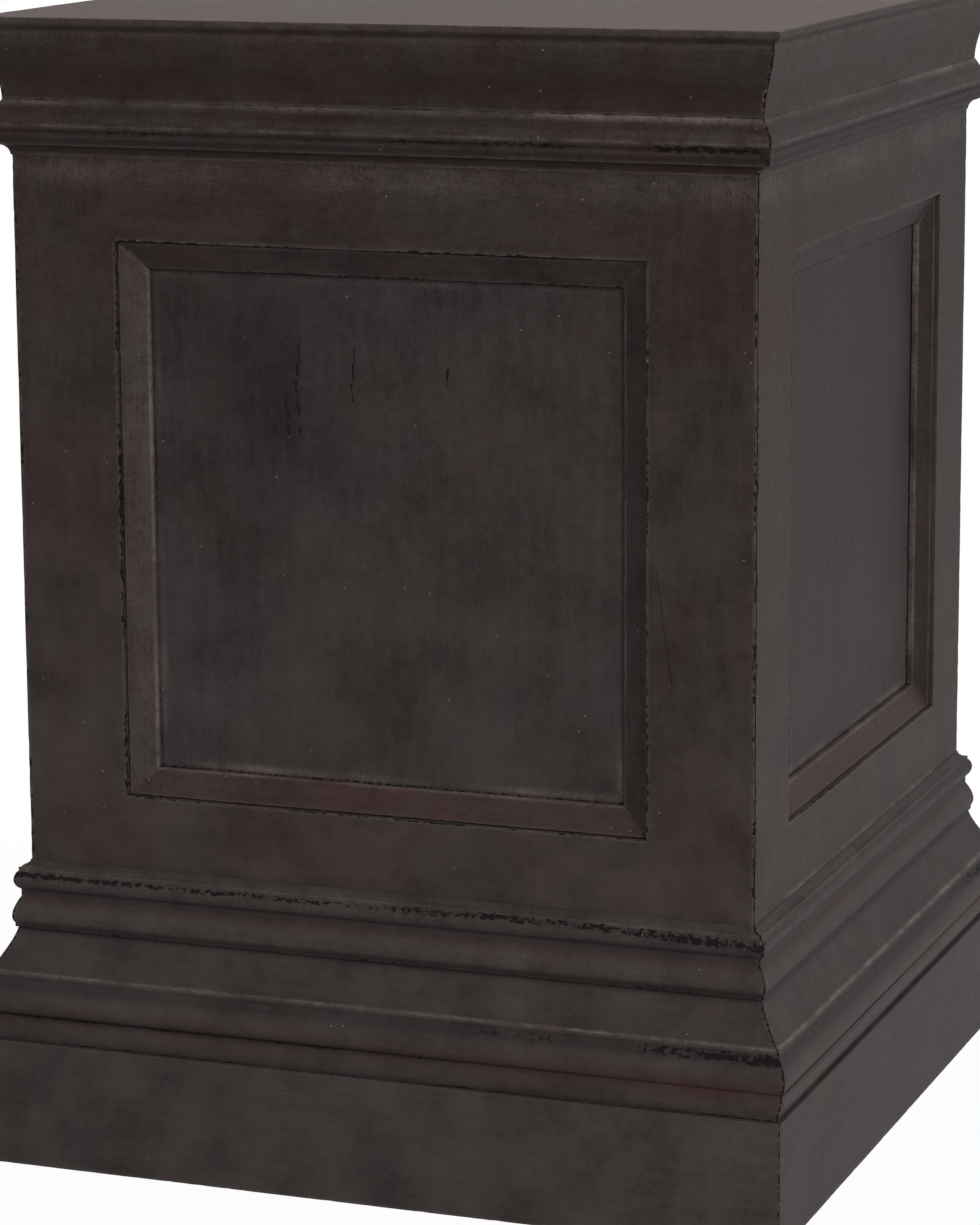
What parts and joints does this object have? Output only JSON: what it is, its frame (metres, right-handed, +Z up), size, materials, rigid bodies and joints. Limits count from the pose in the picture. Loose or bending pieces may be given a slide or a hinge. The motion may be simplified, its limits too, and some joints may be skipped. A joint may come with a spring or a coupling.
{
  "type": "column base",
  "caption": "Square pedestal for a column, bust or urn: panelled wooden die between a moulded cap and a moulded base on a plinth, in dark worn paint.",
  "frame": {"origin": "centre of the square foot, on the surface it stands on", "axes": "+Z up the pedestal's own axis; -Y out of the front face; +X out of the right face"},
  "size_m": [0.4056, 0.4056, 0.552],
  "materials": {
    "painted_top": "worn oil paint on softwood, a little lighter and duller on the flat top, satin",
    "painted_moulding": "worn oil paint on softwood: near-black, brushed over with thin red-brown and grey-green, rubbed on the arrises, pale dust in the corners, satin",
    "painted_frame": "worn oil paint on softwood: near-black, brushed over with thin red-brown and grey-green, rubbed on the arrises, pale dust in the corners, satin",
    "painted_panel": "worn oil paint on softwood: near-black, brushed over with thin red-brown and grey-green, rubbed on the arrises, pale dust in the corners, satin",
    "painted_bevel": "worn oil paint on softwood: near-black, brushed over with thin red-brown and grey-green, rubbed on the arrises, pale dust in the corners, satin",
    "painted_base": "worn oil paint on softwood: near-black, brushed over with thin red-brown and grey-green, rubbed on the arrises, pale dust in the corners, satin"
  },
  "bodies": {
    "root": {"top_board": "painted_top", "front_cap_moulding": "painted_moulding", "front_neck_moulding": "painted_moulding", "front_left_stile": "painted_frame", "front_right_stile": "painted_frame", "front_top_rail": "painted_frame", "front_bottom_rail": "painted_frame", "front_panel": "painted_panel", "front_panel_top_moulding": "painted_bevel", "front_panel_bottom_moulding": "painted_bevel", "front_panel_left_moulding": "painted_bevel", "front_panel_right_moulding": "painted_bevel", "front_base_moulding": "painted_base", "front_plinth_board": "painted_base", "right_cap_moulding": "painted_moulding", "right_neck_moulding": "painted_moulding", "right_left_stile": "painted_frame", "right_right_stile": "painted_frame", "right_top_rail": "painted_frame", "right_bottom_rail": "painted_frame", "right_panel": "painted_panel", "right_panel_top_moulding": "painted_bevel", "right_panel_bottom_moulding": "painted_bevel", "right_panel_left_moulding": "painted_bevel", "right_panel_right_moulding": "painted_bevel", "right_base_moulding": "painted_base", "right_plinth_board": "painted_base", "back_cap_moulding": "painted_moulding", "back_neck_moulding": "painted_moulding", "back_left_stile": "painted_frame", "back_right_stile": "painted_frame", "back_top_rail": "painted_frame", "back_bottom_rail": "painted_frame", "back_panel": "painted_panel", "back_panel_top_moulding": "painted_bevel", "back_panel_bottom_moulding": "painted_bevel", "back_panel_left_moulding": "painted_bevel", "back_panel_right_moulding": "painted_bevel", "back_base_moulding": "painted_base", "back_plinth_board": "painted_base", "left_cap_moulding": "painted_moulding", "left_neck_moulding": "painted_moulding", "left_left_stile": "painted_frame", "left_right_stile": "painted_frame", "left_top_rail": "painted_frame", "left_bottom_rail": "painted_frame", "left_panel": "painted_panel", "left_panel_top_moulding": "painted_bevel", "left_panel_bottom_moulding": "painted_bevel", "left_panel_left_moulding": "painted_bevel", "left_panel_right_moulding": "painted_bevel", "left_base_moulding": "painted_base", "left_plinth_board": "painted_base"}
  },
  "joints": []
}
